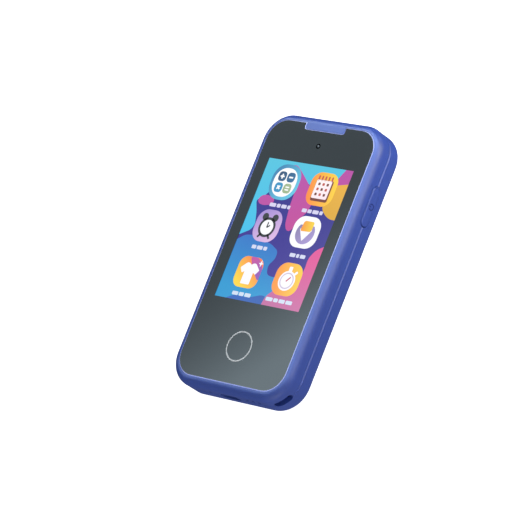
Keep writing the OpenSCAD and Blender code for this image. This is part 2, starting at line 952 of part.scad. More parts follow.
front_housing();
back_cover();
cover_lens();
lens_adhesive();
touch_sensor();
home_touch_pad();
lcd_panel();
backlight_panel();
display_tray();
display_flex();
display_socket();
front_camera_holder();
front_camera_lens();
front_camera_flex();
main_board();
processor();
flash_memory();
power_manager();
audio_amplifier();
clock_crystal();
board_passives();
charging_board();
board_link_flex();
battery_cell();
battery_guard_board();
battery_leads();
battery_plug();
battery_socket();
battery_tape();
charging_port_shell();
charging_port_tongue();
microphone();
microphone_boot();
speaker_box();
speaker_gasket();
speaker_contacts();
power_key();
power_switch_plunger();
power_switch_body();
power_switch_dome();
rear_window();
rear_window_tape();
rear_camera_holder();
rear_camera_lens();
rear_camera_flex();
flash_led();
board_screws();
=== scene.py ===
import math

import bmesh
import bpy
from mathutils import Matrix, Vector


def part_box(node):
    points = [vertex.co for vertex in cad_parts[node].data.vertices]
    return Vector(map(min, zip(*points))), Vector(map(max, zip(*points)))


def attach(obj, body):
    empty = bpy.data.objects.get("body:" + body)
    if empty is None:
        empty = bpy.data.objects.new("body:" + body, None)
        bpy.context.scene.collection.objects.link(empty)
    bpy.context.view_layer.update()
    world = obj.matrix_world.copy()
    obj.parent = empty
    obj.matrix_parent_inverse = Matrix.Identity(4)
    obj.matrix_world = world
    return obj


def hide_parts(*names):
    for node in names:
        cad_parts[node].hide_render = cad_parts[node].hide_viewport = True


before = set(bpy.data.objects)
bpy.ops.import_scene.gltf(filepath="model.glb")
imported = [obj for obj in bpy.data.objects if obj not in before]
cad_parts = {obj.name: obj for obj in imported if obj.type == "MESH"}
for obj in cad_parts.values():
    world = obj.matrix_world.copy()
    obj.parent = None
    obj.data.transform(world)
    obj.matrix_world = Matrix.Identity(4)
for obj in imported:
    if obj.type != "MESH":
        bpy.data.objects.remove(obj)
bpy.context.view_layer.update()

# ------------------------------------------------------------------------------------------
# Camera
# A long lens well back from the phone, so that its edges stay nearly parallel. The phone lies
# on its back and the camera is turned on its own axis, which stands the phone up in the frame.
# ------------------------------------------------------------------------------------------
MM = 0.001
camera_aim = Vector((-6.1 * MM, -3.0 * MM, 17.0 * MM))
camera_distance = 1.3
camera_round = math.radians(73.07)
camera_up = math.radians(45.25)
camera_turn = math.radians(56.13)
camera_way = Vector((
    math.sin(camera_round) * math.cos(camera_up),
    -math.cos(camera_round) * math.cos(camera_up),
    math.sin(camera_up)))

camera = bpy.data.objects.new("camera", bpy.data.cameras.new("camera"))
bpy.context.scene.collection.objects.link(camera)
camera.data.lens = 242.3
camera.data.sensor_width = 36
camera.data.clip_start = 0.05
camera.location = camera_aim + camera_way * camera_distance
level = (-camera_way).to_track_quat("-Z", "Y").to_matrix()
camera.rotation_euler = (level @ Matrix.Rotation(-camera_turn, 3, "Z")).to_euler()
bpy.context.scene.camera = camera

# ------------------------------------------------------------------------------------------
# Studio
# A dim white dome, and soft lamps near the end that holds the phone's cameras, so that the light
# falls off along it. Two more lamps are only mirrored and draw the sheen along the right edge,
# and a weak matt one lifts the blue of the port end.
# ------------------------------------------------------------------------------------------


def add_node(tree, kind, settings=None, **links):
    """A new node. Each link is a socket's name, or _ and its number, with a value or an output."""
    node = tree.nodes.new(kind)
    for name, value in (settings or {}).items():
        setattr(node, name, value)
    for name, value in links.items():
        socket = node.inputs[int(name[1:])] if name[0] == "_" else node.inputs[name.replace("_", " ")]
        if isinstance(value, bpy.types.NodeSocket):
            tree.links.new(value, socket)
        else:
            socket.default_value = value
    return node


bpy.context.scene.view_settings.view_transform = "Standard"
world = bpy.data.worlds.new("studio")
world.use_nodes = True
bpy.context.scene.world = world
dome_level = 0.20
dome_slope = 0.22
dome_way = Vector((0.80, -0.59, 0.11)).normalized()
sky = world.node_tree
looking = add_node(sky, "ShaderNodeTexCoord").outputs["Generated"]
facing = add_node(sky, "ShaderNodeVectorMath", {"operation": "DOT_PRODUCT"}, _0=looking,
                  _1=dome_way * dome_slope)
strength = add_node(sky, "ShaderNodeMath", _0=facing.outputs["Value"], _1=dome_level)
sky.nodes["Background"].inputs["Color"].default_value = (1, 1, 1, 1)
sky.links.new(strength.outputs["Value"], sky.nodes["Background"].inputs["Strength"])


def soft_lamp(name, place, size, power, matt=True, gloss=True):
    """A square lamp that faces the phone and lights it, mirrors in it or both; in metres and watts."""
    lamp = bpy.data.objects.new(name, bpy.data.lights.new(name, "AREA"))
    bpy.context.scene.collection.objects.link(lamp)
    lamp.data.size = size
    lamp.data.energy = power
    lamp.location = place
    lamp.rotation_euler = (-Vector(place)).to_track_quat("-Z", "Y").to_euler()
    lamp.visible_camera = False
    lamp.visible_diffuse = matt
    lamp.visible_glossy = gloss


soft_lamp("side_lamp", (0.17, 0.16, 0.05), 0.12, 0.39, gloss=False)
soft_lamp("end_lamp", (-0.30, 0.40, 0.35), 0.30, 1.1, gloss=False)
soft_lamp("front_lamp", (0.45, 0.10, 0.40), 0.40, 0.22)
soft_lamp("high_sheen", (0.42, 0.32, 0.40), 0.36, 1.8, matt=False)
soft_lamp("low_sheen", (0.62, 0.30, 0.16), 0.50, 0.7, matt=False)
soft_lamp("port_end_fill", (0.15, -0.50, 0.12), 0.30, 0.9, gloss=False)

# ------------------------------------------------------------------------------------------
# Floor
# A wide sheet of matt white paper, which the phone lies on. From below it is clear, and a lamp
# under it lights the phone's back, so that the back can be looked at as well.
# ------------------------------------------------------------------------------------------


def linear(hex_colour):
    """An sRGB hex colour as the linear values that a shader takes."""
    found = []
    for i in (1, 3, 5):
        c = int(hex_colour[i:i + 2], 16) / 255
        found.append(c / 12.92 if c <= 0.04045 else ((c + 0.055) / 1.055) ** 2.4)
    return (*found, 1.0)


def new_material(name, **values):
    """A material, its node tree and its Principled shader, with values on the shader's sockets."""
    made = bpy.data.materials.new(name)
    made.use_nodes = True
    shader = made.node_tree.nodes["Principled BSDF"]
    for socket, value in values.items():
        shader.inputs[socket.replace("_", " ")].default_value = value
    return made, made.node_tree, shader


def new_object(name, bm, *materials):
    """The bmesh as an object at the origin, smooth except at sharp edges and round flat faces."""
    for edge in bm.edges:
        turned = edge.calc_face_angle(0.0)
        by_a_flat = any(max(abs(c) for c in face.normal) > 0.9999 for face in edge.link_faces)
        edge.smooth = turned < math.radians(12 if by_a_flat else 35)
    mesh = bpy.data.meshes.new(name)
    bm.to_mesh(mesh)
    bm.free()
    for material in materials:
        mesh.materials.append(material)
    mesh.shade_smooth()
    made = bpy.data.objects.new(name, mesh)
    bpy.context.scene.collection.objects.link(made)
    return made


# Matt paper: no gloss, and faint fibres that break its white
paper, tree, shader = new_material("matt_paper", Roughness=0.95, Specular_IOR_Level=0.1,
                                   Emission_Strength=1.0)
place = add_node(tree, "ShaderNodeTexCoord").outputs["Object"]
fibres = add_node(tree, "ShaderNodeTexNoise", Vector=place, Scale=1 / (2.5 * MM), Detail=4.0)
white = add_node(tree, "ShaderNodeMix", {"data_type": "RGBA"}, _0=fibres.outputs["Fac"],
                 _6=linear("#fbfbfb"), _7=linear("#ffffff"))
tree.links.new(white.outputs[2], shader.inputs["Base Color"])
shader.inputs["Emission Color"].default_value = (1, 1, 1, 1)
under_side = add_node(tree, "ShaderNodeNewGeometry").outputs["Backfacing"]
clear = add_node(tree, "ShaderNodeBsdfTransparent")
either = add_node(tree, "ShaderNodeMixShader", _0=under_side, _1=shader.outputs["BSDF"],
                  _2=clear.outputs["BSDF"])
tree.links.new(either.outputs["Shader"], tree.nodes["Material Output"].inputs["Surface"])

floor_gap = 0.1 * MM
bm = bmesh.new()
bmesh.ops.create_grid(bm, x_segments=8, y_segments=8, size=4.0, matrix=Matrix.Translation((0, 0, -floor_gap)))
floor = new_object("floor", bm, paper)
floor.visible_diffuse = False
floor.visible_glossy = False
floor.visible_shadow = False
soft_lamp("under_lamp", (0, 0, -0.80), 0.5, 2.2, gloss=False)

# ------------------------------------------------------------------------------------------
# Light card
# A glowing white card held over the left of the phone and not seen itself. The cover lens mirrors
# its near side as a soft glow at the lower right, and its far end lifts the shell's tab and rim.
# It fades out over the port end and past the far end.
# ------------------------------------------------------------------------------------------
card_height = 227 * MM
card_low = Vector((-500 * MM, -140 * MM))
card_high = Vector((100 * MM, 360 * MM))
# How far from a point of the lens the card's point lies that it mirrors
mirror_shift = Vector((-201 * MM, 61.5 * MM))
card_level = 1.3
card_glow = 2.9
glow_starts = -25 * MM
glow_is_full = 75 * MM
end_glow = 6.5
end_glow_starts = 125 * MM
end_glow_is_full = 195 * MM
port_fade_starts = -5 * MM
port_fade_ends = -120 * MM
far_fade_starts = 240 * MM
far_fade_ends = 330 * MM

card_paint, tree, shader = new_material("lit_card", Base_Color=(0, 0, 0, 1), Roughness=1.0)
place = add_node(tree, "ShaderNodeTexCoord").outputs["Object"]
across = add_node(tree, "ShaderNodeVectorMath", {"operation": "DOT_PRODUCT"}, _0=place, _1=(1, -1, 0))
shift = mirror_shift.x - mirror_shift.y
ramp = add_node(tree, "ShaderNodeMapRange", Value=across.outputs["Value"],
                From_Min=glow_starts + shift, From_Max=glow_is_full + shift)
bend = add_node(tree, "ShaderNodeMath", {"operation": "POWER"}, _0=ramp.outputs["Result"], _1=2.0)
glow = add_node(tree, "ShaderNodeMath", {"operation": "MULTIPLY_ADD"}, _0=bend.outputs["Value"],
                _1=card_glow, _2=card_level)
along = add_node(tree, "ShaderNodeSeparateXYZ", Vector=place)
end_ramp = add_node(tree, "ShaderNodeMapRange", {"interpolation_type": "SMOOTHSTEP"},
                    Value=along.outputs["Y"], From_Min=end_glow_starts, From_Max=end_glow_is_full,
                    To_Max=end_glow)
both = add_node(tree, "ShaderNodeMath", _0=glow.outputs["Value"], _1=end_ramp.outputs["Result"])
glows = both.outputs["Value"]
for dark, full in ((port_fade_ends, port_fade_starts), (far_fade_ends, far_fade_starts)):
    fade = add_node(tree, "ShaderNodeMapRange", {"interpolation_type": "SMOOTHSTEP"},
                    Value=along.outputs["Y"], From_Min=dark, From_Max=full)
    faded = add_node(tree, "ShaderNodeMath", {"operation": "MULTIPLY"}, _0=glows, _1=fade.outputs["Result"])
    glows = faded.outputs["Value"]
shader.inputs["Emission Color"].default_value = linear("#dcf3ff")
tree.links.new(glows, shader.inputs["Emission Strength"])

bm = bmesh.new()
bmesh.ops.create_grid(bm, x_segments=1, y_segments=1, size=0.5)
for v in bm.verts:
    v.co.xy = (card_low + card_high) / 2 + v.co.xy * (card_high - card_low)
    v.co.z = card_height
card = new_object("light_card", bm, card_paint)
card.visible_camera = False
card.visible_diffuse = False
card.visible_shadow = False

# ------------------------------------------------------------------------------------------
# Front housing, back cover
# Two thin shells of royal blue ABS, injection moulded and clicked together. The mould is spark
# eroded, which gives a satin skin with a fine even grain.
# ------------------------------------------------------------------------------------------


def grained(name, tones, grain, rough, height, **values):
    """A material whose tone, roughness and relief follow one fine grain; sizes in millimetres."""
    made, tree, shader = new_material(name, **values)
    place = add_node(tree, "ShaderNodeTexCoord").outputs["Object"]
    noise = add_node(tree, "ShaderNodeTexNoise", Vector=place, Scale=1 / (grain * MM), Detail=3.0)
    tone = add_node(tree, "ShaderNodeMix", {"data_type": "RGBA"}, _0=noise.outputs["Fac"],
                    _6=linear(tones[0]), _7=linear(tones[1]))
    dull = add_node(tree, "ShaderNodeMapRange", Value=noise.outputs["Fac"], To_Min=rough[0], To_Max=rough[1])
    relief = add_node(tree, "ShaderNodeBump", Height=noise.outputs["Fac"], Strength=0.5, Distance=height * MM)
    tree.links.new(tone.outputs[2], shader.inputs["Base Color"])
    tree.links.new(dull.outputs["Result"], shader.inputs["Roughness"])
    tree.links.new(relief.outputs["Normal"], shader.inputs["Normal"])
    return made


def dress(material, *names):
    """Gives CAD nodes a material."""
    for name in names:
        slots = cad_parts[name].data.materials
        slots.clear()
        slots.append(material)


# ABS with a spark-eroded grain of 0.1 mm, drawn at 0.3 mm so that it shows: satin, evenly dyed
blue_abs = grained("moulded_blue_abs", ("#324ba1", "#3651ab"), 0.3, (0.38, 0.48), 0.004, IOR=1.54,
                   Specular_IOR_Level=0.7)
dress(blue_abs, "front_housing", "back_cover")

# ------------------------------------------------------------------------------------------
# Screws, battery and its leads
# Six zinc-plated steel screws hold both boards to posts of the back cover. The battery is a
# lithium pouch on double-sided tape, with a guard board, two leads and a small plug.
# ------------------------------------------------------------------------------------------

# Zinc-plated steel: bright, with a fine crystalline sparkle
zinc_steel = grained("zinc_plated_steel", ("#a9adb0", "#c3c6c8"), 0.15, (0.28, 0.4), 0.003, Metallic=1.0)
dress(zinc_steel, "board_screws")

# Aluminium laminate: soft foil under a clear film, a little uneven from vacuum sealing
pouch_foil = grained("aluminium_laminate", ("#b9bdc1", "#d3d6d9"), 4.0, (0.3, 0.42), 0.05, Metallic=0.9)
dress(pouch_foil, "battery_cell")

# Closed-cell foam tape: matt and pitted
foam_tape = grained("black_foam_tape", ("#161616", "#242424"), 0.4, (0.85, 0.95), 0.02)
dress(foam_tape, "battery_tape", "lens_adhesive", "rear_window_tape")

# PVC insulation: smooth and slightly waxy
red_pvc = grained("red_pvc", ("#a81818", "#bc2222"), 0.6, (0.38, 0.5), 0.003)
dress(red_pvc, "battery_leads")

# Nylon: opaque cream, dull from the mould
cream_nylon = grained("cream_nylon", ("#e4dcc6", "#efe9d8"), 0.4, (0.45, 0.6), 0.004)
dress(cream_nylon, "battery_plug", "battery_socket", "display_socket", "power_switch_plunger")

# ------------------------------------------------------------------------------------------
# Boards and ribbons
# Glass-fibre epoxy boards with copper tracks under green solder mask, and amber polyimide
# ribbons between them. Chips are black epoxy, small capacitors are fired ceramic.
# ------------------------------------------------------------------------------------------

# Solder mask over tracks 0.8 mm apart: the copper makes paler, slightly raised steps in the green
solder_mask, tree, shader = new_material("green_solder_mask", Roughness=0.35, IOR=1.5)
place = add_node(tree, "ShaderNodeTexCoord").outputs["Object"]
tracks = add_node(tree, "ShaderNodeTexBrick", Vector=place, Color1=linear("#1b5e3b"),
                  Color2=linear("#1f6b45"), Mortar=linear("#2f8a5c"), Scale=1 / MM,
                  Mortar_Size=0.18, Brick_Width=5.6, Row_Height=0.8)
step = add_node(tree, "ShaderNodeBump", Height=tracks.outputs["Fac"], Strength=0.4, Distance=0.03 * MM)
tree.links.new(tracks.outputs["Color"], shader.inputs["Base Color"])
tree.links.new(step.outputs["Normal"], shader.inputs["Normal"])
dress(solder_mask, "main_board", "charging_board", "battery_guard_board")

# Polyimide film over copper lines 0.5 mm apart: amber, with bands that run along the ribbon
polyimide, tree, shader = new_material("amber_polyimide", Roughness=0.3, IOR=1.6)
place = add_node(tree, "ShaderNodeTexCoord").outputs["Object"]
lines = add_node(tree, "ShaderNodeTexWave", {"bands_direction": "X"}, Vector=place,
                 Scale=0.314 / (0.5 * MM), Distortion=0.0)
amber = add_node(tree, "ShaderNodeMix", {"data_type": "RGBA"}, _0=lines.outputs["Fac"],
                 _6=linear("#b5701c"), _7=linear("#d8953a"))
tree.links.new(amber.outputs[2], shader.inputs["Base Color"])
dress(polyimide, "board_link_flex", "display_flex", "front_camera_flex", "rear_camera_flex")

# Epoxy moulding compound: matt charcoal with a fine filler grain
chip_epoxy = grained("chip_epoxy", ("#1e1f22", "#2a2b2f"), 0.12, (0.6, 0.75), 0.006)
dress(chip_epoxy, "processor", "flash_memory", "power_manager", "audio_amplifier")

# Fired ceramic: tan, slightly glossy, no two bodies quite alike
ceramic = grained("fired_ceramic", ("#9c8058", "#c2a478"), 1.4, (0.4, 0.55), 0.004)
dress(ceramic, "board_passives")

# Pressed sheet steel: bright, with long faint rolling marks 0.3 mm apart
pressed_steel, tree, shader = new_material("pressed_sheet_steel", Metallic=1.0)
place = add_node(tree, "ShaderNodeTexCoord").outputs["Object"]
rolled = add_node(tree, "ShaderNodeMapping", Vector=place, Scale=(1, 0.04, 1))
marks = add_node(tree, "ShaderNodeTexNoise", Vector=rolled.outputs["Vector"], Scale=1 / (0.3 * MM),
                 Detail=2.0)
silver = add_node(tree, "ShaderNodeMix", {"data_type": "RGBA"}, _0=marks.outputs["Fac"],
                  _6=linear("#b4b7ba"), _7=linear("#d2d4d6"))
dull = add_node(tree, "ShaderNodeMapRange", Value=marks.outputs["Fac"], To_Min=0.2, To_Max=0.38)
tree.links.new(silver.outputs[2], shader.inputs["Base Color"])
tree.links.new(dull.outputs["Result"], shader.inputs["Roughness"])
dress(pressed_steel, "clock_crystal", "display_tray", "power_switch_dome")

# ------------------------------------------------------------------------------------------
# Bottom end: charging port, speaker and microphone
# The port is a drawn steel shell round a black tongue, set back in the shells' mouth. The
# speaker box and the microphone seal against their holes with silicone rubber.
# ------------------------------------------------------------------------------------------

dress(pressed_steel, "charging_port_shell")

# Glass-filled polycarbonate: dark, satin, with short fibres near the skin
black_polycarbonate = grained("black_polycarbonate", ("#1b1c1e", "#26282b"), 0.25, (0.42, 0.55), 0.004)
dress(black_polycarbonate, "charging_port_tongue", "speaker_box", "front_camera_holder",
      "rear_camera_holder", "power_switch_body")

# Silicone rubber: dead matt, picks up dust
silicone = grained("silicone_rubber", ("#28282a", "#323235"), 0.3, (0.75, 0.9), 0.005)
dress(silicone, "speaker_gasket", "microphone_boot")

# Copper alloy flashed with gold: warm, polished by the rollers
gold_flash = grained("gold_flashed_copper", ("#c9a050", "#e0bd70"), 0.2, (0.18, 0.3), 0.002, Metallic=1.0)
dress(gold_flash, "speaker_contacts", "microphone", "home_touch_pad")

# ------------------------------------------------------------------------------------------
# Display
# A colour panel with its touch sensor on top and a light guide in a steel tray behind it, all
# bonded together and held under the cover lens.
# ------------------------------------------------------------------------------------------

# Panel glass: nearly black when dark, with a sensor grid 2 mm apart that only a slant light shows
panel_glass, tree, shader = new_material("panel_glass", Roughness=0.08, IOR=1.52)
place = add_node(tree, "ShaderNodeTexCoord").outputs["Object"]
grid = add_node(tree, "ShaderNodeTexBrick", {"offset": 0.0}, Vector=place, Color1=linear("#20242c"),
                Color2=linear("#1e2229"), Mortar=linear("#2b3038"), Scale=1 / MM,
                Mortar_Size=0.05, Brick_Width=2.0, Row_Height=2.0)
tree.links.new(grid.outputs["Color"], shader.inputs["Base Color"])
dress(panel_glass, "lcd_panel", "touch_sensor")

# White diffusing film: bright, soft, no gloss
diffusing_film = grained("diffusing_film", ("#eceeea", "#f8f9f6"), 0.5, (0.55, 0.7), 0.002)
dress(diffusing_film, "backlight_panel")

# ------------------------------------------------------------------------------------------
# Cover lens
# One sheet of hard-coated PMMA, cut round the housing's tab and printed black behind. The print leaves the
# display window open, and the polished edge is pale and glows a little: a painted highlight.
# ------------------------------------------------------------------------------------------
lens_low, lens_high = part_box("cover_lens")
lens_corner = 8.9 * MM
lens_bevel = 0.3 * MM
tab_width = 19.7 * MM
tab_depth = 2.75 * MM
tab_corner = 0.85 * MM
screen_width = 43.2 * MM
screen_length = 57.6 * MM
screen_middle = 8.3 * MM
screen_side = screen_width / 2
screen_foot = screen_middle - screen_length / 2
screen_head = screen_middle + screen_length / 2
window_sink = 0.15 * MM


def rounded_outline(bm, points, z, corners):
    """A flat face through the points, its corners rounded by the radii given, 0 for a sharp one."""
    old = set(bm.faces)
    verts = [bm.verts.new((x, y, z)) for x, y in points]
    bm.faces.new(verts)
    for radius in sorted(set(corners) - {0}):
        bmesh.ops.bevel(bm, geom=[v for v, r in zip(verts, corners) if r == radius], offset=radius,
                        segments=10, profile=0.5, affect="VERTICES", material=-1, clamp_overlap=True)
    return next(f for f in bm.faces if f not in old)


def thicken(bm, face, by):
    """Draws a face along Z into a closed plate, and gives the plate's new face."""
    drawn = bmesh.ops.extrude_face_region(bm, geom=[face])["geom"]
    verts = [v for v in drawn if isinstance(v, bmesh.types.BMVert)]
    bmesh.ops.translate(bm, verts=verts, vec=(0, 0, by))
    return next(f for f in drawn if isinstance(f, bmesh.types.BMFace))


def sink_wells(bm, face, wells, by, slot):
    """Opens wells, given as rows of (x, y), in a flat face, and draws their floors along Z by by."""
    z = face.verts[0].co.z
    rim = list(face.edges)
    bmesh.ops.delete(bm, geom=[face], context="FACES_ONLY")
    for well in wells:
        verts = [bm.verts.new((x, y, z)) for x, y in well]
        loop = [bm.edges.new((verts[i - 1], verts[i])) for i in range(len(verts))]
        rim += loop
        drawn = bmesh.ops.extrude_edge_only(bm, edges=loop)["geom"]
        low = [v for v in drawn if isinstance(v, bmesh.types.BMVert)]
        bmesh.ops.translate(bm, verts=low, vec=(0, 0, by))
        floor_face = bmesh.ops.contextual_create(
            bm, geom=[e for e in drawn if isinstance(e, bmesh.types.BMEdge)])["faces"][0]
        floor_face.material_index = slot
    bmesh.ops.triangle_fill(bm, use_beauty=True, edges=rim)


half_width = (lens_high.x - lens_low.x) / 2
tab_low = lens_high.y - tab_depth
outline = [
    (-half_width, lens_low.y), (half_width, lens_low.y), (half_width, lens_high.y),
    (tab_width / 2, lens_high.y), (tab_width / 2, tab_low), (-tab_width / 2, tab_low),
    (-tab_width / 2, lens_high.y), (-half_width, lens_high.y)]
radii = [lens_corner, lens_corner, lens_corner, 0, tab_corner, tab_corner, 0, lens_corner]

# Printed PMMA: deep black under a polished hard coat, with the faintest cloud in the print
printed_pmma = grained("printed_pmma", ("#0a0b0d", "#0e1013"), 6.0, (0.06, 0.09), 0.0, IOR=1.5)
# Edge of the same sheet: pale lilac and faintly glowing, a painted highlight that stands in for the light and
# the shell's blue which the polished bevel catches
edge_painted_highlight = grained("lens_edge_painted_highlight", ("#8f9ad2", "#a3afe0"), 1.0, (0.1, 0.16), 0.0, IOR=1.49,
                    Emission_Color=linear("#9aa6dc"), Emission_Strength=0.7)

bm = bmesh.new()
top = thicken(bm, rounded_outline(bm, outline, lens_low.z, radii), lens_high.z - lens_low.z)
bmesh.ops.bevel(bm, geom=list(top.edges), offset=lens_bevel, segments=3, profile=0.5,
                affect="EDGES", material=-1)
top = max((f for f in bm.faces if abs(f.normal.z) > 0.99), key=lambda f: f.calc_center_median().z)
# The bevelled faces round the top carry the painted highlight
for face in bm.faces:
    gets_painted_highlight = abs(face.normal.z) < 0.98 and face.calc_center_median().z > lens_high.z - lens_bevel
    face.material_index = 1 if gets_painted_highlight else 0
opening = [(-screen_side, screen_foot), (screen_side, screen_foot), (screen_side, screen_head),
           (-screen_side, screen_head)]
sink_wells(bm, top, [opening], -window_sink, 0)
bmesh.ops.recalc_face_normals(bm, faces=bm.faces)
lens = new_object("cover_lens_sheet", bm, printed_pmma, edge_painted_highlight)
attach(lens, "phone")
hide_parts("cover_lens")

# ------------------------------------------------------------------------------------------
# Home ring and front camera
# The home ring is pale ink behind the lens, over the touch pad, and is drawn at the lens's face.
# The camera looks out through a small hole in the print, with its own coated lens just behind.
# ------------------------------------------------------------------------------------------
home_middle = Vector((0, -38 * MM, lens_high.z))
ring_radius = 5.87 * MM
ring_line = 0.5 * MM
ink_height = 0.015 * MM
camera_middle = Vector((0, 44.6 * MM, lens_high.z))
camera_radius = 1.05 * MM

# Screen ink: dense pale grey with a dry, even surface under the gloss
pale_ink = grained("pale_screen_ink", ("#dce0e3", "#eef0f2"), 0.4, (0.2, 0.3), 0.0, IOR=1.49)


def spun(bm, middle, profile, steps):
    """Spins a row of (radius, height) points round Z at middle, and closes the doubles."""
    verts = [bm.verts.new(middle + Vector((r, 0, z))) for r, z in profile]
    edges = [bm.edges.new(pair) for pair in zip(verts, verts[1:])]
    bmesh.ops.spin(bm, geom=verts + edges, cent=middle, axis=(0, 0, 1), angle=2 * math.pi,
                   steps=steps, use_merge=True)
    bmesh.ops.remove_doubles(bm, verts=bm.verts, dist=1e-7)


bm = bmesh.new()
inside, outside = ring_radius - ring_line / 2, ring_radius + ring_line / 2
spun(bm, home_middle, [(inside, -ink_height), (inside, ink_height), (outside, ink_height),
                       (outside, -ink_height), (inside, -ink_height)], 96)
bmesh.ops.recalc_face_normals(bm, faces=bm.faces)
home_ring = new_object("home_ring", bm, pale_ink)
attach(home_ring, "phone")

# Coated optical glass: black, with a violet to green bloom that changes with the slant
coated_glass, tree, shader = new_material("coated_optical_glass", Roughness=0.03, IOR=1.6)
slant = add_node(tree, "ShaderNodeLayerWeight", Blend=0.35)
bloom = add_node(tree, "ShaderNodeMix", {"data_type": "RGBA"}, _0=slant.outputs["Facing"],
                 _6=linear("#12131c"), _7=linear("#2c2148"))
tree.links.new(bloom.outputs[2], shader.inputs["Base Color"])
dress(coated_glass, "front_camera_lens", "rear_camera_lens")

# Black ink round the camera's hole: dry and dead matt, so that no stray light gets in
matt_ink = grained("matt_black_ink", ("#040405", "#08080a"), 0.2, (0.9, 1.0), 0.0, Specular_IOR_Level=0.0)

bm = bmesh.new()
r, h = camera_radius, ink_height
spun(bm, camera_middle, [(0, -h), (r, -h), (r, h), (0.5 * r, h), (0.5 * r, 2 * h), (0.42 * r, 6 * h),
                         (0.28 * r, 9 * h), (0, 11 * h)], 32)
bmesh.ops.recalc_face_normals(bm, faces=bm.faces)
for face in bm.faces:
    across = (face.calc_center_median() - camera_middle).xy.length
    face.material_index = 1 if across < 0.5 * camera_radius else 0
camera_hole = new_object("front_camera_hole", bm, matt_ink, coated_glass)
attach(camera_hole, "phone")

# ------------------------------------------------------------------------------------------
# Picture on the display: wallpaper
# The panel is bonded to the lens, so its light seems to lie at the surface. The picture is a
# stack of flat lit shapes in the lens's window, under the same gloss: here, broad soft patches.
# ------------------------------------------------------------------------------------------
layer = 0.02 * MM
picture_floor = lens_high.z - window_sink


def lit(name, first, second, start=(0, 37), end=(0, -20)):
    """Light of the panel, running from the first colour at start to the second at end, in mm."""
    made, tree, shader = new_material(name, Base_Color=(0, 0, 0, 1), Roughness=0.08, IOR=1.5,
                                      Emission_Strength=1.0)
    place = add_node(tree, "ShaderNodeTexCoord").outputs["Object"]
    a, b = Vector((*start, 0)) * MM, Vector((*end, 0)) * MM
    way = (b - a) / (b - a).length_squared
    along = add_node(tree, "ShaderNodeVectorMath", {"operation": "DOT_PRODUCT"}, _0=place, _1=way)
    part = add_node(tree, "ShaderNodeMapRange", Value=along.outputs["Value"], From_Min=a.dot(way),
                    From_Max=b.dot(way))
    colour = add_node(tree, "ShaderNodeMix", {"data_type": "RGBA"}, _0=part.outputs["Result"],
                      _6=linear(first), _7=linear(second))
    tree.links.new(colour.outputs[2], shader.inputs["Emission Color"])
    return made


def flat(bm, points, level, slot=0, corner=0.0):
    """A thin plate in layer number level, its corners rounded where they lie inside the screen."""
    near = 0.1 * MM
    places = [(x * MM, y * MM) for x, y in points]
    inner = [abs(x) < screen_side - near and screen_foot + near < y < screen_head - near for x, y in places]
    radii = [corner * MM if rounded else 0 for rounded in inner]
    old = set(bm.faces)
    thicken(bm, rounded_outline(bm, places, picture_floor + (level - 1) * layer, radii), layer)
    for face in bm.faces:
        if face not in old:
            face.material_index = slot


def on_screen(name, bm, *materials):
    """Finishes a part of the picture."""
    bmesh.ops.recalc_face_normals(bm, faces=bm.faces)
    made = new_object(name, bm, *materials)
    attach(made, "phone")


side, foot, head = screen_side / MM, screen_foot / MM, screen_head / MM
bm = bmesh.new()
flat(bm, [(-side, foot), (side, foot), (side, head), (-side, head)], 1, 0)
flat(bm, [(-side, 5), (-17, 7.5), (-15.8, 10), (-17.5, 15), (-19.8, 19.5), (-16, 22.5), (-11, 30),
          (-10, 35.8), (-6.5, 35.6), (-2.8, 33.2), (2.8, 29), (8, 28), (14, 30), (15.5, 33),
          (17.8, head), (-side, head)], 2, 1, 1.0)
flat(bm, [(-10.5, 35.4), (-6.5, 36), (-2.8, 33.4), (2.8, 29), (8, 24), (7.2, 18.5), (4, 14),
          (3, 10), (0.6, 9.4), (-1.2, 12), (-2.4, 19), (-2.8, 27), (-6, 32)], 3, 2, 1.2)
flat(bm, [(-19.2, 20), (-18, 21.8), (-15.4, 22.4), (-12, 21.8), (-10.8, 20.4), (-12, 18.6),
          (-15.4, 18), (-18, 18.4)], 3, 2, 0.9)
flat(bm, [(side, 31.6), (side, head), (17.8, head), (15.5, 33), (14, 30)], 3, 2, 0.8)
flat(bm, [(side, 31.6), (14, 30), (12.8, 25), (13.4, 20.6), (15.4, 18.6), (18.6, 16.9), (side, 16.8)],
     4, 3, 1.4)
flat(bm, [(-side, 3), (-18.4, 5.3), (-15, 5.7), (-9.6, 4.7), (-4, 3.4), (0.4, 1.2), (0.6, -2),
          (-1.6, -5), (-0.6, -8.6), (2, -9.2), (6, -9), (6, -14), (3, -17), (2.4, foot), (-side, foot)],
     2, 4, 1.3)
flat(bm, [(-16, foot), (-12, -18.6), (-5, -18.8), (0.4, -17), (3, -17), (2.4, foot)], 3, 6, 0.8)
flat(bm, [(side, 6), (18.4, 4.2), (16.2, 0.4), (16.6, -4), (15, -10), (6, -14), (3, -17), (2.4, foot),
          (side, foot)], 4, 5, 1.6)
on_screen(
    "screen_wallpaper", bm, lit("light_indigo", "#1e0f82", "#340c90"),
    lit("light_cyan", "#4cc0dc", "#38bce6", (-20, 37), (-18, 8)),
    lit("light_magenta", "#b242a5", "#c03d94", (-6, 35), (2, 11)),
    lit("light_amber", "#e7ac29", "#dba50d", (18, 30), (18, 17)),
    lit("light_blue", "#226dc2", "#0a92cc", (-6, 4), (-10, -17)),
    lit("light_pink", "#e04490", "#bf5f98", (18, 4), (8, -20)),
    lit("light_deep_blue", "#205cba", "#1850aa", (-14, -18), (2, -19)))

# ------------------------------------------------------------------------------------------
# Picture on the display: six icons
# Rounded tiles in two columns, each with a plain everyday sign: calculator, calendar, alarm
# clock, pencil, shirt and stopwatch.
# ------------------------------------------------------------------------------------------
icon_layer = 5


def box_points(x, y, w, h):
    """Corners of an upright box round x, y."""
    return [(x - w / 2, y - h / 2), (x + w / 2, y - h / 2), (x + w / 2, y + h / 2), (x - w / 2, y + h / 2)]


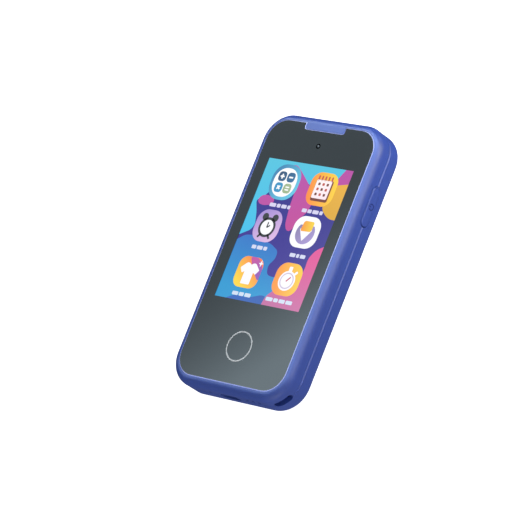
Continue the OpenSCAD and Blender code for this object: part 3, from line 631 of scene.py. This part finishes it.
def round_points(x, y, r):
    """Points of a circle round x, y."""
    sides = 28
    turns = [2 * math.pi * i / sides for i in range(sides)]
    return [(x + r * math.cos(t), y + r * math.sin(t)) for t in turns]


def bar_points(x, y, length, width, degrees):
    """Corners of a bar round x, y, turned from the X axis."""
    c, s = math.cos(math.radians(degrees)), math.sin(math.radians(degrees))
    return [(x + c * u - s * v, y + s * u + c * v) for u, v in box_points(0, 0, length, width)]


white_light = lit("light_white", "#ffffff", "#f6f4fb")
dark_light = lit("light_charcoal", "#2c2a2a", "#201e22")

x, y = -9.3, 28.4
bm = bmesh.new()
flat(bm, box_points(x, y, 14.2, 14.6), icon_layer, 0, 6.0)
flat(bm, box_points(x - 0.1, y - 0.1, 11.4, 11.8), icon_layer + 1, 1, 5.2)
for across, up, colour in ((-2.2, 2.2, 2), (2.2, 2.2, 2), (-2.2, -2.4, 3), (2.2, -2.4, 4)):
    flat(bm, box_points(x + across, y + up, 3.9, 4.0), icon_layer + 2, colour, 1.4)
for turn in (0, 90):
    flat(bm, bar_points(x - 2.2, y + 2.2, 2.0, 0.65, turn), icon_layer + 3, 1, 0.2)
flat(bm, bar_points(x + 2.2, y + 2.2, 2.0, 0.65, 0), icon_layer + 3, 1, 0.2)
for turn in (45, -45):
    flat(bm, bar_points(x - 2.2, y - 2.4, 2.0, 0.65, turn), icon_layer + 3, 1, 0.2)
for step_y in (-0.55, 0.55):
    flat(bm, bar_points(x + 2.2, y - 2.4 + step_y, 1.9, 0.55, 0), icon_layer + 3, 1, 0.2)
on_screen("icon_calculator", bm, lit("light_teal", "#2f74a8", "#5fc3e2", (-16, 34), (-3, 26)), white_light,
          lit("light_navy", "#1f3f66", "#2a6c9c", (-13, 33), (-5, 29)),
          lit("light_sea_blue", "#2789bc", "#3596c4", (-14, 26), (-9, 26)),
          lit("light_olive", "#98b082", "#a3b98f", (-9, 24), (-5, 27)))

x, y = 9.9, 28.0
orange_to_yellow = lit("light_orange", "#fb8a2a", "#fbcf2c", (4, 25), (16, 29))
bm = bmesh.new()
flat(bm, box_points(x, y, 13.2, 13.6), icon_layer, 0, 4.4)
flat(bm, box_points(x + 0.2, y - 0.6, 8.4, 8.8), icon_layer + 1, 1, 0.8)
flat(bm, box_points(x - 0.1, y - 0.1, 7.6, 7.6), icon_layer + 2, 2, 0.6)
for i in range(5):
    flat(bm, box_points(x - 3.3 + 1.65 * i, y + 4.3, 0.75, 2.2), icon_layer + 2, 3, 0.3)
for i in range(3):
    for j in range(3):
        flat(bm, box_points(x - 2.2 + 2.1 * i, y + 2.0 - 2.1 * j, 1.1, 1.1), icon_layer + 3,
             3 if (i + j) % 2 else 1, 0.3)
on_screen("icon_calendar", bm, orange_to_yellow, lit("light_brown", "#7a3318", "#5e1f16"),
          lit("light_blush", "#fdf6f4", "#fbe3ec", (7, 32), (13, 24)), lit("light_red", "#c24a3c", "#b8402e"))

x, y = -9.4, 10.2
bm = bmesh.new()
flat(bm, box_points(x, y, 12.6, 13.2), icon_layer, 0, 4.8)
for way in (-1, 1):
    flat(bm, round_points(x + way * 2.5, y + 3.5, 1.5), icon_layer + 1, 1)
    flat(bm, bar_points(x + way * 2.3, y - 4.2, 2.2, 0.9, way * -50), icon_layer + 1, 1, 0.3)
flat(bm, round_points(x, y - 0.6, 4.1), icon_layer + 1, 1)
flat(bm, round_points(x, y - 0.6, 3.05), icon_layer + 2, 2)
flat(bm, bar_points(x, y + 0.4, 2.3, 0.55, 90), icon_layer + 3, 1, 0.2)
flat(bm, bar_points(x + 0.65, y - 0.2, 1.7, 0.55, 40), icon_layer + 3, 1, 0.2)
on_screen("icon_alarm_clock", bm, lit("light_lilac", "#a78bd2", "#dab4e0", (-13, 15), (-6, 5)), dark_light,
          white_light)

x, y = 10.0, 10.3
bm = bmesh.new()
flat(bm, box_points(x, y, 13.2, 12.8), icon_layer, 0, 4.6)
flat(bm, round_points(x, y - 0.3, 4.6), icon_layer + 1, 1)
flat(bm, box_points(x, y + 3.9, 9.6, 2.2), icon_layer + 2, 0, 0.5)
flat(bm, [(x - 3.2, y + 1.2), (x + 3.1, y + 1.2), (x - 0.3, y - 3.7)], icon_layer + 2, 0, 0.5)
flat(bm, [(x - 2.8, y + 0.2), (x + 2.7, y + 0.4), (x + 2.9, y + 4.5), (x - 2.2, y + 4.5)], icon_layer + 3,
     2, 0.9)
on_screen("icon_pencil", bm, white_light, lit("light_dusk", "#8379a4", "#a894d0", (6, 14), (14, 6)),
          lit("light_pencil", "#f58f22", "#f6cf2c", (7, 12), (12.4, 13)))

x, y = -9.7, -9.1
bm = bmesh.new()
flat(bm, box_points(x, y, 12.2, 12.6), icon_layer, 0, 3.6)
flat(bm, [(x + 6.1, y - 3), (x + 6.1, y + 2.7), (x + 2.5, y + 6.3), (x - 1.6, y + 6.3), (x + 1, y + 2)],
     icon_layer + 1, 1, 1.2)
shirt = [(-2.2, -4.6), (2.2, -4.6), (2.2, 0.4), (3.4, -0.4), (4.8, 1.6), (2.2, 4.0), (1.0, 4.0), (0, 3.2),
         (-1.0, 4.0), (-2.2, 4.0), (-4.8, 1.6), (-3.4, -0.4), (-2.2, 0.4)]
flat(bm, [(x + 0.2 + u, y - 0.2 + v) for u, v in shirt], icon_layer + 2, 2, 0.35)
sparkle = [(0, -1.5), (0.35, -0.35), (1.2, 0), (0.35, 0.35), (0, 1.5), (-0.35, 0.35), (-1.2, 0),
           (-0.35, -0.35)]
flat(bm, [(x + 4.6 + u, y + 4.2 + v) for u, v in sparkle], icon_layer + 2, 2)
on_screen("icon_shirt", bm, lit("light_sunset", "#f87a35", "#f9d32a", (-8, -4), (-15, -12)),
          lit("light_orchid", "#c2489c", "#8e4fb4", (-9, -4), (-4, -9)), white_light)

x, y = 10.2, -9.0
bm = bmesh.new()
flat(bm, box_points(x, y, 12.8, 13.2), icon_layer, 0, 4.6)
flat(bm, box_points(x, y + 4.2, 1.7, 1.9), icon_layer + 1, 1, 0.4)
flat(bm, bar_points(x + 3.2, y + 2.9, 1.6, 1.0, 45), icon_layer + 1, 1, 0.3)
flat(bm, round_points(x, y - 0.6, 4.0), icon_layer + 1, 1)
flat(bm, round_points(x, y - 0.6, 3.3), icon_layer + 2, 2)
flat(bm, round_points(x, y - 0.6, 2.8), icon_layer + 3, 1)
flat(bm, bar_points(x + 0.6, y + 0.1, 2.6, 0.6, 50), icon_layer + 4, 3, 0.2)
on_screen("icon_stopwatch", bm, lit("light_marigold", "#f9962a", "#fbcb2a", (5, -9), (16, -6)), white_light,
          lit("light_silver", "#c9b4c4", "#cbbcd4"), lit("light_rose", "#d8707c", "#c85a6c"))

# ------------------------------------------------------------------------------------------
# Picture on the display: captions
# A row of short pale dashes under each icon, in place of words. They are part of the picture, lit
# by the panel like the icons.
# ------------------------------------------------------------------------------------------
captions = [
    (-12.4, 18.8, (3.2, 1.8, 2.6, 1.4)), (4.2, 18.7, (2.4, 2.0, 3.0, 1.6)), (-13.0, 1.2, (2.2, 2.8, 1.8)),
    (6.8, 0.7, (2.8, 1.4, 2.6)), (-13.6, -18.0, (3.0, 2.4, 3.0)), (3.6, -17.8, (3.4, 2.2, 3.0, 3.2))]
dash_height = 1.5
dash_gap = 0.5
bm = bmesh.new()
for left, y, dashes in captions:
    for length in dashes:
        flat(bm, box_points(left + length / 2, y, length, dash_height), icon_layer, 0, 0.4)
        left += length + dash_gap
on_screen("caption_dashes", bm, lit("light_caption", "#d9cdee", "#cfdcee"))

# ------------------------------------------------------------------------------------------
# Power key
# A long oval bar of the same blue ABS in a slot across the line between the shells. Its flange
# keeps it in, and a small raised ring with a stroke marks it. It slides straight in.
# ------------------------------------------------------------------------------------------
key_low, key_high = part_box("power_key")
key_middle = Vector((0, (key_low.y + key_high.y) / 2, (key_low.z + key_high.z) / 2))
key_length = 16 * MM
key_width = 4.2 * MM
flange_thickness = 0.8 * MM
mark_height = 0.1 * MM
mark_root = 0.05 * MM
key_face = key_high.x - mark_height
key_bevel = 0.45 * MM


def side_oval(bm, length, width, start, end, bevel):
    """A bar with round ends that lies along Y and runs from start to end in X, its outer rim bevelled."""
    old = set(bm.verts)
    bmesh.ops.create_circle(bm, cap_ends=True, radius=width / 2, segments=40)
    verts = [v for v in bm.verts if v not in old]
    for v in verts:
        v.co.y += math.copysign((length - width) / 2, v.co.y) if abs(v.co.y) > 1e-9 else 0
    straight = Matrix.Translation((start, key_middle.y, key_middle.z)) @ Matrix.Rotation(math.pi / 2, 4, "Y")
    bmesh.ops.transform(bm, verts=verts, matrix=straight)
    face = verts[0].link_faces[0]
    drawn = bmesh.ops.extrude_face_region(bm, geom=[face])["geom"]
    bmesh.ops.translate(bm, verts=[v for v in drawn if isinstance(v, bmesh.types.BMVert)],
                        vec=(end - start, 0, 0))
    if bevel:
        cap = next(f for f in drawn if isinstance(f, bmesh.types.BMFace))
        bmesh.ops.bevel(bm, geom=list(cap.edges), offset=bevel, segments=5, profile=0.5,
                        affect="EDGES", material=-1)


bm = bmesh.new()
side_oval(bm, key_length, key_width, key_low.x + flange_thickness / 2, key_face, key_bevel)
side_oval(bm, key_high.y - key_low.y, key_high.z - key_low.z, key_low.x, key_low.x + flange_thickness, 0)
bmesh.ops.recalc_face_normals(bm, faces=bm.faces)
key = new_object("power_key_cap", bm, blue_abs)
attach(key, "key")
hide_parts("power_key")

# Darker blue on the raised mark: painted shade, which stands in for the shade in the mark's strokes; dry and
# even
mark_painted_shade = grained("key_mark_painted_shade", ("#1d2c6e", "#24357c"), 0.3, (0.5, 0.6), 0.0)

mark_radius = 1.15 * MM
mark_line = 0.4 * MM
mark_gap = math.radians(35)
stroke_length = 1.3 * MM
stroke_middle = 0.95 * MM
bm = bmesh.new()
low, high = key_face - mark_root, key_high.x
inside, outside = mark_radius - mark_line / 2, mark_radius + mark_line / 2
section = [bm.verts.new(key_middle + Vector((x, math.sin(mark_gap) * r, math.cos(mark_gap) * r)))
           for x, r in ((low, inside), (high, inside), (high, outside), (low, outside))]
bmesh.ops.spin(bm, geom=[bm.faces.new(section)], cent=key_middle, axis=(1, 0, 0),
               angle=-(2 * math.pi - 2 * mark_gap), steps=36)
stroke = [bm.verts.new(key_middle + Vector((low, y, z)))
          for y, z in box_points(0, stroke_middle, mark_line, stroke_length)]
drawn = bmesh.ops.extrude_face_region(bm, geom=[bm.faces.new(stroke)])["geom"]
bmesh.ops.translate(bm, verts=[v for v in drawn if isinstance(v, bmesh.types.BMVert)],
                    vec=(high - low, 0, 0))
bmesh.ops.recalc_face_normals(bm, faces=bm.faces)
key_mark = new_object("power_key_mark", bm, mark_painted_shade)
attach(key_mark, "key")

# ------------------------------------------------------------------------------------------
# Rear camera window
# An oval plate of black-backed PMMA let into the back cover, with the camera's lens and the
# flash behind two round openings in its print.
# ------------------------------------------------------------------------------------------
window_low, window_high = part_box("rear_window")
window_middle = (window_low + window_high) / 2
window_length = window_high.x - window_low.x
window_width = window_high.y - window_low.y
cap_shift = (window_length - window_width) / 2
window_bevel = 0.2 * MM
well_depth = 0.3 * MM
lens_well = 2.5 * MM
flash_well = 2.05 * MM

# Frosted PMMA with the flash chip's yellow phosphor behind its middle
frosted_pmma = grained("frosted_pmma", ("#e9e6d6", "#fbfaf2"), 0.5, (0.4, 0.55), 0.006, IOR=1.49)
dress(frosted_pmma, "flash_led")
# Black-backed PMMA: as the cover lens, a little softer from handling
black_pmma = grained("black_backed_pmma", ("#08090a", "#0d0e10"), 3.0, (0.08, 0.14), 0.0, IOR=1.49)


def lens_spot(way, radius, sides):
    """A circle of (x, y) at one of the window's two ends."""
    return [(window_middle.x + way * cap_shift + radius * math.cos(2 * math.pi * i / sides),
             window_middle.y + radius * math.sin(2 * math.pi * i / sides)) for i in range(sides)]


bm = bmesh.new()
bmesh.ops.create_circle(bm, cap_ends=True, radius=window_width / 2, segments=48)
for v in bm.verts:
    v.co.x += math.copysign(cap_shift, v.co.x) if abs(v.co.x) > 1e-9 else 0
bmesh.ops.translate(bm, verts=bm.verts, vec=(window_middle.x, window_middle.y, window_high.z))
outer = thicken(bm, next(iter(bm.faces)), window_low.z - window_high.z)
bmesh.ops.bevel(bm, geom=list(outer.edges), offset=window_bevel, segments=3, profile=0.5,
                affect="EDGES", material=-1)
outer = min((f for f in bm.faces if abs(f.normal.z) > 0.99), key=lambda f: f.calc_center_median().z)
sink_wells(bm, outer, [lens_spot(1, lens_well, 40), lens_spot(-1, flash_well, 40)], well_depth, 0)
bmesh.ops.recalc_face_normals(bm, faces=bm.faces)
window = new_object("rear_window_plate", bm, black_pmma)
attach(window, "phone")
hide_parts("rear_window")

bm = bmesh.new()
well_floor = Vector((window_middle.x + cap_shift, window_middle.y, window_low.z + well_depth))
steps_down = [(0, -0.16), (0.5, -0.155), (1.0, -0.12), (1.45, -0.06), (1.5, -0.14), (1.7, -0.2), (2.2, -0.2),
              (2.4, -0.12), (2.4, 0.02), (0, 0.02)]
spun(bm, well_floor, [(r * MM, z * MM) for r, z in steps_down], 48)
bmesh.ops.recalc_face_normals(bm, faces=bm.faces)
for face in bm.faces:
    across = (face.calc_center_median() - well_floor).xy.length
    face.material_index = 0 if across < 1.45 * MM else 1
rear_lens = new_object("rear_camera_front", bm, coated_glass, black_polycarbonate)
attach(rear_lens, "phone")

bm = bmesh.new()
well_floor = Vector((window_middle.x - cap_shift, window_middle.y, window_low.z + well_depth))
dome_steps = [(0, -0.24), (0.7, -0.23), (1.3, -0.19), (1.8, -0.12), (2.0, -0.04), (2.0, 0.02), (0, 0.02)]
spun(bm, well_floor, [(r * MM, z * MM) for r, z in dome_steps], 48)
bmesh.ops.recalc_face_normals(bm, faces=bm.faces)
flash = new_object("flash_diffuser", bm, frosted_pmma)
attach(flash, "phone")
